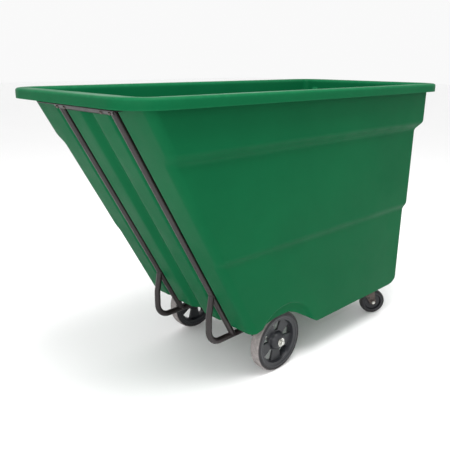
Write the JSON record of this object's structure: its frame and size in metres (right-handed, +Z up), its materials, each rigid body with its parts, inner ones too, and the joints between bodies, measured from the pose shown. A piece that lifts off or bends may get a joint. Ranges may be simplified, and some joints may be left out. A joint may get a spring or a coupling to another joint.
{
  "type": "tilt truck",
  "caption": "Open moulded tub with a sloped dump chute on a tube frame, two large wheels on an axle and swivel casters at the back.",
  "frame": {"origin": "centre of the overall box at floor level", "axes": "+X forward to the dump chute, +Y to the truck's left, +Z up"},
  "size_m": [1.76, 0.84, 1.17],
  "materials": {
    "tub_plastic": "satin moulded polyethylene",
    "frame_paint": "satin dark brown-black paint",
    "wheel_plastic": "moulded charcoal plastic",
    "tread_rubber": "matte grey tread",
    "caster_rubber": "matte dark tread",
    "zinc_steel": "zinc plated",
    "bush_nylon": "natural nylon"
  },
  "bodies": {
    "frame": {"tub": "tub_plastic", "rail_left": "frame_paint", "slope_tube_left": "frame_paint", "hanger_left": "frame_paint", "caster_plate_left": "zinc_steel", "king_pin_left": "zinc_steel", "caster_balls_left": "zinc_steel", "rail_right": "frame_paint", "slope_tube_right": "frame_paint", "hanger_right": "frame_paint", "caster_plate_right": "zinc_steel", "king_pin_right": "zinc_steel", "caster_balls_right": "zinc_steel", "front_bar": "frame_paint", "rear_plate": "frame_paint", "middle_plate": "frame_paint", "cross_tube": "frame_paint", "rail_caps": "wheel_plastic", "axle": "zinc_steel", "axle_washers": "zinc_steel", "axle_spacers": "zinc_steel", "cotter_pins": "zinc_steel", "plate_bolts": "zinc_steel", "plate_nuts": "zinc_steel", "floor_washers": "zinc_steel", "floor_bolts": "zinc_steel", "floor_nuts": "zinc_steel", "bar_bolts": "zinc_steel", "bar_washers": "zinc_steel", "bar_nuts": "zinc_steel", "bar_spacers": "zinc_steel"},
    "main_wheel_left": {"wheel_left": "wheel_plastic", "tyre_left": "tread_rubber", "bushes_left": "bush_nylon"},
    "caster_swivel_left": {"fork_left": "zinc_steel", "caster_sleeve_left": "zinc_steel", "caster_bolt_left": "zinc_steel", "caster_nut_left": "zinc_steel"},
    "caster_roll_left": {"caster_wheel_left": "wheel_plastic", "caster_tyre_left": "caster_rubber"},
    "main_wheel_right": {"wheel_right": "wheel_plastic", "tyre_right": "tread_rubber", "bushes_right": "bush_nylon"},
    "caster_swivel_right": {"fork_right": "zinc_steel", "caster_sleeve_right": "zinc_steel", "caster_bolt_right": "zinc_steel", "caster_nut_right": "zinc_steel"},
    "caster_roll_right": {"caster_wheel_right": "wheel_plastic", "caster_tyre_right": "caster_rubber"}
  },
  "joints": [
    {"name": "main_wheel_spin_left", "type": "hinge", "parent": "frame", "child": "main_wheel_left", "pos_m": [0.115, 0.269, 0.13], "axis": [0, 1, 0], "continuous": true},
    {"name": "caster_turn_left", "type": "hinge", "parent": "frame", "child": "caster_swivel_left", "pos_m": [-0.63, 0.232, 0.14], "axis": [0, 0, 1], "continuous": true},
    {"name": "caster_spin_left", "type": "hinge", "parent": "caster_swivel_left", "child": "caster_roll_left", "pos_m": [-0.65758, 0.25355, 0.0635], "axis": [0.6157, 0.788, 0], "continuous": true},
    {"name": "main_wheel_spin_right", "type": "hinge", "parent": "frame", "child": "main_wheel_right", "pos_m": [0.115, -0.269, 0.13], "axis": [0, 1, 0], "continuous": true},
    {"name": "caster_turn_right", "type": "hinge", "parent": "frame", "child": "caster_swivel_right", "pos_m": [-0.63, -0.232, 0.14], "axis": [0, 0, 1], "continuous": true},
    {"name": "caster_spin_right", "type": "hinge", "parent": "caster_swivel_right", "child": "caster_roll_right", "pos_m": [-0.65758, -0.25355, 0.0635], "axis": [0.6157, -0.788, 0], "continuous": true}
  ]
}
